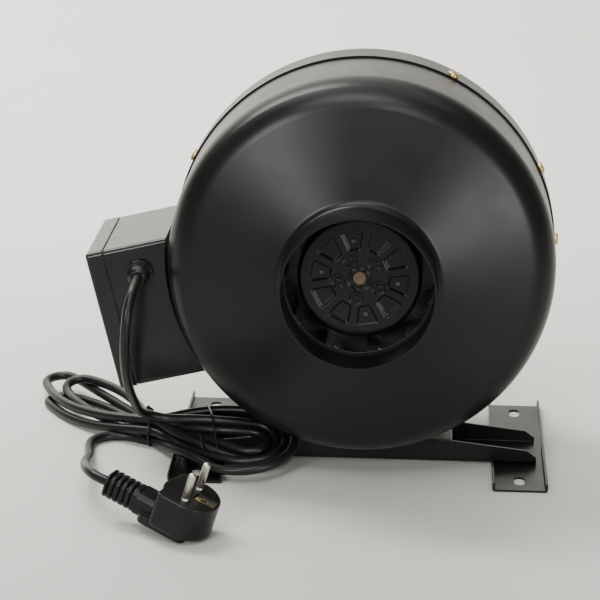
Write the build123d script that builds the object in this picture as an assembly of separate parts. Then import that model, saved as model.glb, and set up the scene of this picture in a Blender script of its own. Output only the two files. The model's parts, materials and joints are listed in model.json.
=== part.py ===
from build123d import *
import math
import os

# Inline duct fan for 100 mm round duct, standing on a channel bracket. Millimetres.
# +X is the air flow (inlet at -X), +Z is up and z = 0 is the underside of the feet.
# The origin is the centre of the four foot slots; the fan axis is parallel to X above it.

# Casing
AXIS_HEIGHT = 143.0
SPIGOT_R = 49.0
SPIGOT_LENGTH = 27.0
SHEET = 1.2
INLET_RIM_X = -118.0
OUTLET_RIM_X = 88.0
INLET_SHELL_R = 124.6
LIP_R = 125.0
OUTLET_SHELL_R = 126.3
FACE_SLOPE = math.tan(math.radians(14.8))
SHOULDER_R = 22.0
ROOT_R = 6.0
LIP_START_X = -34.0
LIP_END_X = 11.0
SEAM_SCREW_X = 5.5
INLET_SHOULDER_X = -67.2
OUTLET_SHOULDER_X = 36.6
SUPPORT_SCREW_ANGLES = (63.5, 153.5, 243.5, 333.5)
SEAM_SCREW_ANGLES = (2.0, 24.5)

# Motor and impeller, all turning on the fan axis
ROTOR_FACE_X = -81.0
ROTOR_END_X = -40.0
ROTOR_R = 39.5
ROTOR_WALL = 1.5
MAGNET_R = 34.5
AIR_GAP = 0.4
SHAFT_R = 4.0
SHAFT_HEAD_R = 4.5
RUNNING_GAP = 0.05
BEARING_R = 11.0
BEARING_WIDTH = 7.0
TUBE_R = 13.0
BLADE_COUNT = 11
BLADE_INNER_R = 46.0
BLADE_OUTER_R = 93.0
BACK_PLATE_X = -60.0
IMPELLER_SHEET = 1.0
PAD_COUNT = 10
BOSS_COUNT = 5
SUPPORT_X = -34.0
SUPPORT_FLANGE_X = -9.0
SUPPORT_SHEET = 2.0
SUPPORT_CUP_R = 41.5

# Terminal box, drawn as if straight out along +Y and then tilted down about the fan axis
BOX_TILT = 13.5
BOX_HALF_DEPTH = 44.0
BOX_TOP = 42.0
BOX_BOTTOM = -52.5
BOX_WALL = 2.5
BOX_FIT_R = 128.0
BOX_RIM_Y = 163.6
LID_FACE_Y = 176.0
SEAL = 0.9
GLAND_Y = 143.5
GLAND_Z = 23.0

# Bracket
FOOT_Y = 106.0
FOOT_WIDTH = 36.0
FOOT_LENGTH = 160.0
FOOT_HEIGHT = 6.0
FOOT_SHEET = 1.5
SLOT_SPACING = 128.0
SLOT_WIDTH = 7.0
SLOT_LENGTH = 14.0
BAR_X = -13.5
BAR_WIDTH = 39.0
BAR_HALF_LENGTH = 118.0
BAR_TOP = 16.4
BAR_END_TOP = 10.0
SADDLE_HALF = 62.0

CLEAR = 0.05

# Places worked out from the sizes above
CASING_BOLT_X = (-25.0, -7.0)
BOX_SCREW_X = (-30.0, -8.0)
BOX_SCREW_Z = -18.0
GROMMET_X = -22.0
MOTOR_SCREW_R = 26.0
TUBE_X0 = -72.0
STATOR_X0 = -67.0
STATOR_X1 = -47.0
FACE_SHEET = 2.2
HUB_END_X = -72.5
COLLAR_R = 7.8
POCKET_DEPTH = 1.0
PAD_START = 28.0
BOSS_START = 45.0
BOSS_PLACE_R = 13.7
BOSS_R = 4.3
BALANCE_ANGLES = (100.0, 172.0, 280.0, 352.0)
BLADE_SWEEP = 42.0
BLADE_TURN = 10.0
GROMMET_R = 6.0
GLAND_FLANGE_R = 9.0
GLAND_STOP_X = -54.5
CORD_R = 3.2
TIE_WIRE_R = 0.8
TWIST_LENGTH = 8.0

# Plug, drawn with its face at z = 0, its pins up and its cord leaving along +Y
PLUG_FACE = (-168.7, 97.8, 29.0)
PLUG_PINS_ACROSS = (0.933, -0.36, 0.006)
PLUG_PINS_UP = (-0.12, -0.295, 0.948)
PLUG_R = 18.5
PLUG_DEPTH = 23.8
PLUG_CORD_Z = -20.8
EARTH_END = -16.8
EARTH_HOLE_Y = -8.6
PROTECTOR_END = 31.0
PROTECTOR_START = 54.0
PIN_R = 2.4
PIN_SPACING = 19.0
PIN_LENGTH = 19.0
PIN_BURIED = 9.0

os.makedirs("parts", exist_ok=True)


def save(name, shape):
    """Write one node."""
    solids = shape.solids() if hasattr(shape, "solids") else list(shape)
    whole = solids[0] if len(solids) == 1 else Compound(children=list(solids))
    print(name, len(solids), "solid(s)", round(sum(s.volume for s in solids)), "mm3")
    export_step(whole, f"parts/{name}.step")
    return whole


def lifted(shape):
    return Pos(0, 0, AXIS_HEIGHT) * shape


def block(x0, x1, y0, y1, z0, z1):
    low = (Align.MIN, Align.MIN, Align.MIN)
    return Pos(x0, y0, z0) * Box(x1 - x0, y1 - y0, z1 - z0, align=low)


def turned(*points):
    """A ring about the X axis from a closed outline of (x, radius) points."""
    outline = make_face(Polyline(*points, close=True))
    return revolve(outline, Axis.X, 360)


def disc(x0, x1, radius, bore=0.0):
    return turned((x0, bore), (x1, bore), (x1, radius), (x0, radius))


def sheet_shell(points, radii, thickness):
    """A pressed sheet ring: the outer line of its section, with the sheet on the inside."""
    line = FilletPolyline(*points, radius=radii)
    band = offset(line, amount=thickness, side=Side.RIGHT, closed=True)
    return revolve(make_face(band), Axis.X, 360)


def radial_peg(x, angle, r0, r1, radius):
    """A peg that points away from the X axis; angle 0 is -Y and 90 is up."""
    peg = Pos(0, 0, r0) * Cylinder(radius, r1 - r0, align=(Align.CENTER, Align.CENTER, Align.MIN))
    return Pos(x, 0, 0) * (Rot(90 - angle, 0, 0) * peg)


def axial_peg(x0, x1, r, angle, radius):
    """A peg parallel to the X axis at polar place (r, angle)."""
    peg = Cylinder(radius, x1 - x0, align=(Align.CENTER, Align.CENTER, Align.MIN))
    return Rot(90 - angle, 0, 0) * (Pos(x0, 0, r) * (Rot(0, 90, 0) * peg))


def pan_screw(head_r, head_h, shank_r, shank_length):
    """A cross-recessed screw along Z, its head's underside at z = 0 and its shank below."""
    head = Cylinder(head_r, head_h, align=(Align.CENTER, Align.CENTER, Align.MIN))
    head = fillet(head.edges().group_by(Axis.Z)[-1], head_h * 0.6)
    shank = Cylinder(shank_r, shank_length, align=(Align.CENTER, Align.CENTER, Align.MAX))
    for turn in (0, 90):
        slot = Rot(0, 0, turn) * Box(head_r * 1.1, head_r * 0.26, head_h)
        head = head - Pos(0, 0, head_h) * slot
    return head + shank


def on_radius(shape, x, angle, radius):
    """Stand a shape made along +Z on the casing at the given place."""
    return Pos(x, 0, 0) * (Rot(90 - angle, 0, 0) * (Pos(0, 0, radius) * shape))


def casing():
    """Both pressed halves. The inlet half's lip goes inside the outlet half at the seam.

    Each half is one pressing, written as three nodes that meet where it bends.
    """
    root = INLET_RIM_X + SPIGOT_LENGTH
    corner = root + (INLET_SHELL_R - SPIGOT_R) * FACE_SLOPE
    inlet = sheet_shell(
        [
            (INLET_RIM_X, SPIGOT_R),
            (root, SPIGOT_R),
            (corner, INLET_SHELL_R),
            (LIP_START_X, LIP_R),
            (LIP_END_X, LIP_R),
        ],
        [ROOT_R, SHOULDER_R, 40.0],
        SHEET,
    )
    root = OUTLET_RIM_X - SPIGOT_LENGTH
    corner = root - (OUTLET_SHELL_R - SPIGOT_R) * FACE_SLOPE
    outlet = sheet_shell(
        [(0, OUTLET_SHELL_R), (corner, OUTLET_SHELL_R), (root, SPIGOT_R), (OUTLET_RIM_X, SPIGOT_R)],
        [SHOULDER_R + SHEET, ROOT_R],
        SHEET,
    )
    for angle in SUPPORT_SCREW_ANGLES + SEAM_SCREW_ANGLES:
        hole = radial_peg(SEAM_SCREW_X, angle, 115, 130, 2.0 + CLEAR)
        inlet = inlet - hole
        outlet = outlet - hole
    inlet = inlet - grommet_hole()
    for x in CASING_BOLT_X:
        inlet = inlet - radial_peg(x, 270, 115, 130, 3.0 + CLEAR)
    for x in BOX_SCREW_X:
        inlet = inlet - box_place(Pos(x, 0, BOX_SCREW_Z) * box_peg(115, 130, 2.0 + CLEAR))
    neck = SPIGOT_LENGTH - ROOT_R * math.tan(math.radians(37.6))
    inlet_cuts = (INLET_RIM_X, INLET_RIM_X + neck, INLET_SHOULDER_X, LIP_END_X)
    outlet_cuts = (OUTLET_RIM_X, OUTLET_RIM_X - neck, OUTLET_SHOULDER_X, 0)
    for side, shell, cuts in (("inlet", inlet, inlet_cuts), ("outlet", outlet, outlet_cuts)):
        for part, edge, next_edge in zip(("spigot", "face", "wall"), cuts, cuts[1:]):
            low, high = sorted((edge, next_edge))
            save(f"{side}_{part}", lifted(shell & disc(low, high, 140)))
    for name, angles, length in (
        ("seam_screws", SEAM_SCREW_ANGLES, 6.0),
        ("support_screws", SUPPORT_SCREW_ANGLES, 8.0),
    ):
        screw = pan_screw(4.0, 2.2, 2.0, length)
        placed = [on_radius(screw, SEAM_SCREW_X, angle, OUTLET_SHELL_R + CLEAR) for angle in angles]
        save(name, Compound(children=[lifted(one).solids()[0] for one in placed]))


def motor_support():
    """A dished plate that carries the motor, with four arms out to the casing's lip."""
    back = SUPPORT_X + SUPPORT_SHEET
    rim = SUPPORT_CUP_R + SUPPORT_SHEET
    cup = turned(
        (SUPPORT_X, 14.0),
        (SUPPORT_X, rim),
        (SUPPORT_FLANGE_X - SUPPORT_SHEET, rim),
        (SUPPORT_FLANGE_X - SUPPORT_SHEET, 58.0),
        (SUPPORT_FLANGE_X, 58.0),
        (SUPPORT_FLANGE_X, SUPPORT_CUP_R),
        (back, SUPPORT_CUP_R),
        (back, 14.0),
    )
    tab_r = LIP_R - SHEET - CLEAR
    band = disc(SUPPORT_FLANGE_X - SUPPORT_SHEET, LIP_END_X - 1, tab_r, tab_r - SUPPORT_SHEET)
    whole = cup
    for angle in SUPPORT_SCREW_ANGLES:
        turn = Rot(90 - angle, 0, 0)
        arm = block(SUPPORT_FLANGE_X - SUPPORT_SHEET, SUPPORT_FLANGE_X, -10, 10, 50, 130)
        arm = (turn * arm) & disc(-30, 10, tab_r)
        tab = band & (turn * block(-30, 30, -10, 10, 100, 130))
        whole = whole + arm + tab
    for angle in SUPPORT_SCREW_ANGLES:
        whole = whole - radial_peg(SEAM_SCREW_X, angle, 110, 130, 2.0 + CLEAR)
        whole = whole - axial_peg(SUPPORT_X - 5, back + 5, MOTOR_SCREW_R, angle, 2.0 + CLEAR)
    save("motor_support", lifted(whole))


def motor():
    """External-rotor motor: the cap and magnet ring turn around the fixed stator."""
    flange = disc(SUPPORT_X - 3.5, SUPPORT_X, 36.0, BEARING_R + 0.02)
    tube = disc(TUBE_X0, SUPPORT_X, TUBE_R, BEARING_R + 0.02)
    flange = flange + tube
    for angle in SUPPORT_SCREW_ANGLES:
        flange = flange - axial_peg(SUPPORT_X - 5, SUPPORT_X + 1, MOTOR_SCREW_R, angle, 2.0 + CLEAR)
    save("motor_flange", lifted(flange))
    screw = pan_screw(3.8, 2.4, 2.0, 5.4)
    screws = []
    for angle in SUPPORT_SCREW_ANGLES:
        place = Rot(90 - angle, 0, 0) * Pos(SUPPORT_X + SUPPORT_SHEET, 0, MOTOR_SCREW_R)
        screws.append(lifted(place * (Rot(0, 90, 0) * screw)).solids()[0])
    save("motor_screws", Compound(children=screws))
    bore = SHAFT_R + RUNNING_GAP
    save("front_bearing", lifted(disc(TUBE_X0, TUBE_X0 + BEARING_WIDTH, BEARING_R, bore)))
    save("rear_bearing", lifted(disc(SUPPORT_X - BEARING_WIDTH, SUPPORT_X, BEARING_R, bore)))
    core = disc(STATOR_X0, STATOR_X1, MAGNET_R - AIR_GAP, TUBE_R + 0.02)
    winding = disc(STATOR_X0 - 6, STATOR_X0, 30.5, 18.5) + disc(STATOR_X1, STATOR_X1 + 6, 30.5, 18.5)
    for number in range(12):
        turn = Rot(number * 30, 0, 0)
        core = core - turn * block(STATOR_X0 - 1, STATOR_X1 + 1, -3, 3, 19, 30)
        core = core - turn * block(STATOR_X0 - 1, STATOR_X1 + 1, -1, 1, 29, 40)
        winding = winding + turn * block(STATOR_X0 - 1, STATOR_X1 + 1, -2.7, 2.7, 19.3, 29.6)
    save("stator_core", lifted(core))
    save("stator_windings", lifted(winding))


def rotor():
    """The cap that shows in the inlet, with its pressed pockets, and what turns with it."""
    inside = ROTOR_FACE_X + FACE_SHEET
    edge = 2.5
    section = make_face(
        Polyline(
            (ROTOR_FACE_X, SHAFT_HEAD_R + 0.02),
            (ROTOR_FACE_X, ROTOR_R),
            (ROTOR_END_X, ROTOR_R),
            (ROTOR_END_X, ROTOR_R - ROTOR_WALL),
            (inside, ROTOR_R - ROTOR_WALL),
            (inside, 9.0),
            (HUB_END_X, 9.0),
            (HUB_END_X, SHAFT_HEAD_R + 0.02),
            close=True,
        )
    )
    corner = section.vertices().sort_by(lambda v: v.X - v.Y)[0]
    section = fillet(corner, edge)
    cap = revolve(section, Axis.X, 360)
    cap = cap - disc(ROTOR_FACE_X - 1, ROTOR_FACE_X + 0.8, COLLAR_R)
    cap = cap + disc(ROTOR_FACE_X, ROTOR_FACE_X + 1, COLLAR_R - 1.6, SHAFT_HEAD_R + 0.02)
    for number in range(PAD_COUNT):
        cap = cap - Rot(90 - PAD_START - number * 360 / PAD_COUNT, 0, 0) * pocket()
    for number in range(BOSS_COUNT):
        angle = BOSS_START + number * 360 / BOSS_COUNT
        cap = cap - axial_peg(ROTOR_FACE_X - 1, ROTOR_FACE_X + 0.9, BOSS_PLACE_R, angle, BOSS_R)
    save("rotor_cap", lifted(cap))
    heads = []
    for number in range(BOSS_COUNT):
        angle = BOSS_START + number * 360 / BOSS_COUNT
        head = axial_peg(ROTOR_FACE_X - 0.3, ROTOR_FACE_X + 0.9, BOSS_PLACE_R, angle, 2.1)
        heads.append(lifted(head).solids()[0])
    save("rotor_rivets", Compound(children=heads))
    dots = []
    for angle in BALANCE_ANGLES:
        dot = axial_peg(ROTOR_FACE_X + 0.1, ROTOR_FACE_X + POCKET_DEPTH, 24.5, angle, 1.4)
        dots.append(lifted(dot).solids()[0])
    save("balance_rivets", Compound(children=dots))
    magnet = disc(STATOR_X0 - 2, STATOR_X1 + 2, ROTOR_R - ROTOR_WALL - 0.02, MAGNET_R)
    save("magnet_ring", lifted(magnet))
    shaft = disc(ROTOR_FACE_X - 0.6, HUB_END_X, SHAFT_HEAD_R) + disc(HUB_END_X, SUPPORT_X + 4, SHAFT_R)
    shaft = chamfer(shaft.edges().group_by(Axis.X)[0], 0.5)
    save("motor_shaft", lifted(shaft))


def pocket():
    """A pressed trapezoid pocket with sloping walls, cut from the cap's face at the top."""
    corners = [(-3.6, 18.5), (3.6, 18.5), (7.2, 31.0), (-7.2, 31.0)]
    face_plane = Plane(origin=(ROTOR_FACE_X, 0, 0), x_dir=(0, 1, 0), z_dir=(1, 0, 0))
    mouth = fillet(make_face(Polyline(*corners, close=True)).vertices(), 1.3)
    return extrude(face_plane * mouth, POCKET_DEPTH, taper=32)


def impeller():
    """Backward-leaning flat blades between a back plate and a conical front ring."""
    back = disc(BACK_PLATE_X, BACK_PLATE_X + IMPELLER_SHEET, 95.0, ROTOR_R + 0.02)
    back = back + disc(BACK_PLATE_X, BACK_PLATE_X + 6, ROTOR_R + 1.2, ROTOR_R + 0.02)
    save("impeller_back_plate", lifted(back))
    eye_x, rim_x, eye_r, rim_r = -87.0, -72.5, 47.6, 95.0
    ring = turned(
        (eye_x, eye_r), (rim_x, rim_r), (rim_x + IMPELLER_SHEET, rim_r), (eye_x + IMPELLER_SHEET, eye_r)
    )
    save("impeller_front_ring", lifted(ring))
    gap = IMPELLER_SHEET + 0.03
    slope = (rim_x - eye_x) / (rim_r - eye_r)
    inner_x = eye_x + gap - (eye_r - 42.0) * slope
    room = turned(
        (inner_x, 42.0), (rim_x + gap, rim_r), (BACK_PLATE_X - 0.03, rim_r), (BACK_PLATE_X - 0.03, 42.0)
    )
    start = (0.0, BLADE_INNER_R)
    sweep = math.radians(BLADE_SWEEP)
    end = (BLADE_OUTER_R * math.sin(sweep), BLADE_OUTER_R * math.cos(sweep))
    length = math.dist(start, end)
    lean = math.degrees(math.atan2(end[1] - start[1], end[0] - start[0]))
    plate = block(eye_x - 5, BACK_PLATE_X + 5, 0, length, 0, IMPELLER_SHEET)
    panel_face = Plane(origin=(0, 0, 0), x_dir=(0, 1, 0), z_dir=(0, 0, -1))
    panel = fillet(
        make_face(Polyline((6, -79.5), (27, -79.5), (24, -65.5), (9, -65.5), close=True)).vertices(), 2.0
    )
    panel = extrude(panel_face * panel, 0.7, taper=25)
    blades = []
    for number in range(BLADE_COUNT):
        blade = plate + panel
        blade = Pos(0, start[0], start[1]) * (Rot(lean, 0, 0) * blade)
        blade = (Rot(number * 360 / BLADE_COUNT + BLADE_TURN, 0, 0) * blade) & room
        blades.append(lifted(blade).solids()[0])
    save("impeller_blades", Compound(children=blades))


def box_place(shape):
    """Tilt a terminal-box shape down about the fan axis, after drawing it straight out along +Y."""
    return Rot(-BOX_TILT, 0, 0) * shape


def box_peg(y0, y1, radius):
    """A peg along +Y."""
    peg = Cylinder(radius, y1 - y0, align=(Align.CENTER, Align.CENTER, Align.MIN))
    return Pos(0, y0, 0) * (Rot(-90, 0, 0) * peg)


def grommet_hole():
    return box_place(Pos(GROMMET_X, 0, 0) * box_peg(118, 140, GROMMET_R))


def box_outline(y0, y1, margin, corner):
    """A rounded rectangle of the box's plan, set in by the margin and drawn out along Y."""
    shape = block(
        -BOX_HALF_DEPTH + margin, BOX_HALF_DEPTH - margin, y0, y1, BOX_BOTTOM + margin, BOX_TOP - margin
    )
    return fillet(shape.edges().filter_by(Axis.Y), corner)


def terminal_box():
    """A deep tray on the casing's side, its lid, and what is inside it."""
    bed = disc(-60, 60, BOX_FIT_R)
    floor = disc(-60, 60, BOX_FIT_R + BOX_WALL)
    body = box_outline(90, BOX_RIM_Y, 0.0, 3.0) - bed
    body = body - (box_outline(90, BOX_RIM_Y + 1, BOX_WALL, 1.5) - floor)
    pedestal = block(-33, -1, 120, 137, -45, -26)
    capacitor_seat = block(-12, 22, 120, 134.8, 6, 30)
    body = body + ((pedestal + capacitor_seat) - bed)
    for x in (-1, 1):
        for z in (BOX_BOTTOM + 6.2, BOX_TOP - 6.2):
            post = Pos(x * (BOX_HALF_DEPTH - 6.2), 0, z) * box_peg(112, BOX_RIM_Y, 4.2)
            body = body + (post - bed)
            pilot = box_peg(BOX_RIM_Y - 14, 170, 1.6 + CLEAR)
            body = body - Pos(x * (BOX_HALF_DEPTH - 6.2), 0, z) * pilot
    body = body - Pos(-50, GLAND_Y, GLAND_Z) * (Rot(0, 90, 0) * Cylinder(6.0 + CLEAR, 20))
    body = body - Pos(GROMMET_X, 0, 0) * box_peg(118, 140, GROMMET_R)
    for x in BOX_SCREW_X:
        body = body - Pos(x, 0, BOX_SCREW_Z) * box_peg(115, 140, 2.0 + CLEAR)
    save("terminal_box_body", lifted(box_place(body)))

    pad = block(-36, 36, 110, 140, -46, 36)
    pad = fillet(pad.edges().filter_by(Axis.Y), 4.0)
    shell = disc(-60, 0, LIP_R) + disc(0, 60, OUTLET_SHELL_R)
    pad = (pad & bed) - shell
    pad = pad - Pos(GROMMET_X, 0, 0) * box_peg(118, 140, GROMMET_R)
    for x in BOX_SCREW_X:
        pad = pad - Pos(x, 0, BOX_SCREW_Z) * box_peg(115, 140, 2.0 + CLEAR)
    save("box_pad", lifted(box_place(pad)))

    seal = box_outline(BOX_RIM_Y, BOX_RIM_Y + SEAL, 0.8, 2.5)
    seal = seal - box_outline(BOX_RIM_Y - 1, BOX_RIM_Y + 2, BOX_WALL, 1.5)
    lid = box_outline(BOX_RIM_Y + SEAL, LID_FACE_Y, -0.3, 3.0)
    lid = fillet(lid.edges().group_by(Axis.Y)[-1], 2.0)
    lid = lid - box_outline(BOX_RIM_Y, LID_FACE_Y - BOX_WALL, BOX_WALL, 1.5)
    lid_screws = []
    for x in (-1, 1):
        for z in (BOX_BOTTOM + 6.2, BOX_TOP - 6.2):
            place = Pos(x * (BOX_HALF_DEPTH - 6.2), 0, z)
            seal = seal + place * (box_peg(BOX_RIM_Y, BOX_RIM_Y + SEAL, 4.2))
            seal = seal - place * box_peg(BOX_RIM_Y - 1, BOX_RIM_Y + 2, 1.6 + CLEAR)
            lid = lid + place * box_peg(BOX_RIM_Y + SEAL, LID_FACE_Y - 1, 4.2)
            lid = lid - place * box_peg(BOX_RIM_Y, LID_FACE_Y + 1, 1.6 + CLEAR)
            lid = lid - place * box_peg(LID_FACE_Y - 3.0, LID_FACE_Y + 1, 3.4 + CLEAR)
            screw = pan_screw(3.4, 2.0, 1.6, 21.0)
            screw = place * (Pos(0, LID_FACE_Y - 3.0, 0) * (Rot(-90, 0, 0) * screw))
            lid_screws.append(lifted(box_place(screw)).solids()[0])
    save("lid_seal", lifted(box_place(seal)))
    save("terminal_box_lid", lifted(box_place(lid)))
    save("lid_screws", Compound(children=lid_screws))

    floor_r = BOX_FIT_R + BOX_WALL
    head_r = 3.6
    seat_y = math.sqrt(floor_r**2 - (abs(BOX_SCREW_Z) - head_r) ** 2) + 0.25
    box_screws = []
    for x in BOX_SCREW_X:
        screw = Rot(-90, 0, 0) * pan_screw(head_r, 2.4, 2.0, 14.0)
        screw = Pos(x, seat_y, BOX_SCREW_Z) * screw
        box_screws.append(lifted(box_place(screw)).solids()[0])
    save("box_screws", Compound(children=box_screws))

    ring = disc(-60, 60, floor_r + 2.0) - disc(-60, 60, LIP_R - SHEET - 1.5)
    bore = box_peg(117, 141, GROMMET_R - 1.8)
    tube = Pos(GROMMET_X, 0, 0) * (box_peg(118, 140, GROMMET_R - 0.02) - bore)
    collar = Pos(GROMMET_X, 0, 0) * (box_peg(118, 140, GROMMET_R + 1.8) - bore)
    outside = collar & (ring - disc(-60, 60, floor_r + 0.02))
    inside = collar & (ring & disc(-60, 60, LIP_R - SHEET - 0.02))
    save("wire_grommet", lifted(box_place((tube & ring) + outside + inside)))

    terminal = block(-32, -2, 137, 153, -44, -27)
    for number in range(3):
        x = -27 + number * 10
        terminal = terminal - Pos(x, 0, -40) * box_peg(147, 160, 2.6)
        terminal = terminal - Pos(x, 0, -31) * box_peg(147, 160, 2.6)
    for number in range(2):
        terminal = terminal - block(-22.6 + number * 10, -21.4 + number * 10, 149, 160, -50, -20)
    save("terminal_block", lifted(box_place(terminal)))

    can = Pos(0, 149, 18) * (Rot(0, 90, 0) * Cylinder(12.5, 52))
    can = fillet(can.edges(), 1.5)
    save("run_capacitor", lifted(box_place(can)))


def cable_gland():
    """The gland on the box's inlet-side wall; the cord stops in its dome."""
    place = Pos(0, GLAND_Y, GLAND_Z)
    wall = -BOX_HALF_DEPTH
    flange = disc(wall - 3.0, wall, GLAND_FLANGE_R)
    flange = flange + disc(wall - 6.5, wall - 3.0, 6.2) + disc(wall, wall + 8, 6.0)
    dome = turned(
        (wall - 13.0, 0.0),
        (wall - 13.0, 4.6),
        (wall - 11.0, 6.6),
        (wall - 8.0, 7.4),
        (wall - 3.05, 7.6),
        (wall - 3.05, 6.25),
        (wall - 6.55, 6.25),
        (wall - 6.55, 0.0),
    )
    dome = dome - disc(wall - 13.5, GLAND_STOP_X, CORD_R + CLEAR)
    lock = disc(wall + BOX_WALL, wall + BOX_WALL + 4.0, 8.4, 6.0 + CLEAR)
    hexagon = Rot(0, 90, 0) * extrude(RegularPolygon(8.4, 6), 10, both=True)
    lock = lock & Pos(wall + BOX_WALL + 2, 0, 0) * hexagon
    save("cable_gland", lifted(box_place(place * flange)))
    save("gland_nut", lifted(box_place(place * dome)))
    save("gland_lock_nut", lifted(box_place(place * lock)))


def channel(half_length, half_width, z0, sheet, height):
    """A pressed channel along Y, open upwards, its lower edges rounded."""
    outer = block(-half_width, half_width, -half_length, half_length, z0, z0 + height)
    low = outer.edges().filter_by(Axis.Y).group_by(Axis.Z)[0]
    outer = fillet(low, sheet * 1.6)
    inner_half, inner_end = half_width - sheet, half_length + 1
    inner = block(-inner_half, inner_half, -inner_end, inner_end, z0 + sheet, z0 + height + 1)
    low = inner.edges().filter_by(Axis.Y).group_by(Axis.Z)[0]
    return outer - fillet(low, sheet * 0.6)


def bracket():
    """Two channel feet with slots, a crossbar between them and a saddle plate for the casing."""
    foot = Rot(0, 0, 90) * channel(FOOT_LENGTH / 2, FOOT_WIDTH / 2, 0, FOOT_SHEET, FOOT_HEIGHT)
    slot = extrude(SlotOverall(SLOT_LENGTH, SLOT_WIDTH), 20, both=True)
    room_x = BAR_WIDTH / 2 + 1
    bar_room = block(-room_x, room_x, -BAR_HALF_LENGTH, BAR_HALF_LENGTH, FOOT_SHEET, 30)
    bar_room = Pos(BAR_X, 0, 0) * bar_room
    for side, name in ((1, "left_foot"), (-1, "right_foot")):
        whole = Pos(0, side * FOOT_Y, 0) * foot
        for x in (-SLOT_SPACING / 2, SLOT_SPACING / 2):
            whole = whole - Pos(x, side * FOOT_Y, 0) * slot
        save(name, whole - bar_room)

    bar = channel(BAR_HALF_LENGTH, BAR_WIDTH / 2, FOOT_SHEET, FOOT_SHEET, BAR_TOP - FOOT_SHEET)
    bar = Pos(BAR_X, 0, 0) * bar
    for side in (1, -1):
        wedge = Polyline(
            (side * SADDLE_HALF, BAR_TOP),
            (side * (BAR_HALF_LENGTH - 6), BAR_END_TOP + 0.6),
            (side * BAR_HALF_LENGTH, BAR_END_TOP - 4),
            (side * (BAR_HALF_LENGTH + 5), 0),
            (side * (BAR_HALF_LENGTH + 5), 40),
            (side * SADDLE_HALF, 40),
            close=True,
        )
        bar = bar - extrude(Plane.YZ * make_face(wedge), 80, both=True)
    save("crossbar", bar)

    half = BAR_WIDTH / 2 - FOOT_SHEET - 0.02
    top = BAR_TOP + 0.1
    plate = block(BAR_X - half, BAR_X + half, -SADDLE_HALF, SADDLE_HALF, top - FOOT_SHEET, top)
    for side in (1, -1):
        y0, y1 = sorted((side * SADDLE_HALF, side * (SADDLE_HALF - FOOT_SHEET)))
        plate = plate + block(BAR_X - half, BAR_X + half, y0, y1, 8.0, top)
    plate = fillet(plate.edges().filter_by(Axis.X).group_by(Axis.Z)[-1], FOOT_SHEET * 0.9)
    bolts, washers, nuts = [], [], []
    for x in CASING_BOLT_X:
        plate = plate - Pos(x, 0, top) * Cylinder(3.0 + CLEAR, 10)
        head = extrude(RegularPolygon(5.6, 6), 4)
        shank = Cylinder(3.0, 13, align=(Align.CENTER, Align.CENTER, Align.MIN))
        bolt = Pos(x, 0, top - FOOT_SHEET - 4.05) * head
        bolt = bolt + Pos(x, 0, top - FOOT_SHEET - 0.05) * shank
        bolts.append(bolt.solids()[0])
        washer_height = AXIS_HEIGHT - LIP_R - top
        washer = Cylinder(6.2, washer_height, align=(Align.CENTER, Align.CENTER, Align.MIN))
        washers.append((Pos(x, 0, top) * (washer - Cylinder(3.0 + CLEAR, 10))).solids()[0])
        seat = AXIS_HEIGHT - math.sqrt((LIP_R - SHEET) ** 2 - 5.6**2)
        nut = extrude(RegularPolygon(5.6, 6), 5) - Cylinder(3.0 + 0.02, 30)
        nuts.append((Pos(x, 0, seat) * nut).solids()[0])
    save("saddle", plate)
    save("casing_bolts", Compound(children=bolts))
    save("casing_washers", Compound(children=washers))
    save("casing_nuts", Compound(children=nuts))


# The cord's routes, in the part's own frame, from the gland and from the plug to the hank
TILT = math.radians(BOX_TILT)
GLAND_OUT = GLAND_Y * math.cos(TILT) + GLAND_Z * math.sin(TILT)
GLAND_UP = AXIS_HEIGHT + GLAND_Z * math.cos(TILT) - GLAND_Y * math.sin(TILT)
DROP_ROUTE = [
    (GLAND_STOP_X, GLAND_OUT, GLAND_UP),
    (-71.0, GLAND_OUT, GLAND_UP),
    (-83.0, 148.0, 119.0),
    (-85.0, 149.8, 100.0),
    (-78.0, 151.0, 79.0),
    (-63.0, 151.0, 59.0),
    (-44.0, 149.4, 41.5),
    (-27.0, 148.0, 29.0),
    (-15.5, 147.0, 22.0),
]
TAIL_ROUTE = [
    (-147.8, 151.8, 26.5),
    (-144.7, 159.8, 29.4),
    (-138.3, 167.2, 31.3),
    (-129.2, 172.1, 31.5),
    (-115.9, 175.6, 29.4),
    (-98.0, 177.5, 24.5),
    (-79.0, 179.5, 18.0),
    (-61.0, 182.0, 12.0),
    (-45.0, 184.5, 7.2),
    (-30.0, 186.0, 4.3),
    (-16.5, 183.2, 3.5),
    (-8.0, 174.0, 3.5),
    (-7.0, 162.5, 3.5),
    (-9.2, 154.2, 3.5),
]
HANK_OUTLINE = [
    (95, 228),
    (76, 239),
    (54, 232),
    (28, 210),
    (6, 185),
    (-3, 173),
    (-1, 160),
    (-15, 149),
    (-22, 142),
    (-36, 128),
    (-57, 108),
    (-77, 90),
    (-87, 70),
    (-84, 50),
    (-66, 38),
    (-42, 34),
    (-20, 42),
    (-6, 56),
    (0, 80),
    (0, 108),
    (2, 138),
    (16, 154),
    (54, 180),
    (80, 203),
]
TIE_1_RING = [(-11, -9.9), (11, -9.9), (11.4, 4), (6, 10.6), (-6, 10.6), (-11.4, 4)]
TIE_2_RING = [
    (-41, -2.6),
    (-37, -11),
    (-23, -11),
    (-18, -4.6),
    (15.4, -4.6),
    (15.4, 4),
    (8, 8.2),
    (-26, 8.2),
]


def cord_path(route):
    """Straight runs with one arc at each corner, each as large as its two runs allow."""
    points = [Vector(*point) for point in route]
    radii = []
    for before, corner, after in zip(points, points[1:], points[2:]):
        runs = (corner - before, after - corner)
        half = math.radians(runs[0].get_angle(runs[1])) / 2
        radii.append(0.45 * min(runs[0].length, runs[1].length) / math.tan(half))
    print("corner radii", [round(radius, 1) for radius in radii])
    return FilletPolyline(*points, radius=radii)


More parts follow.
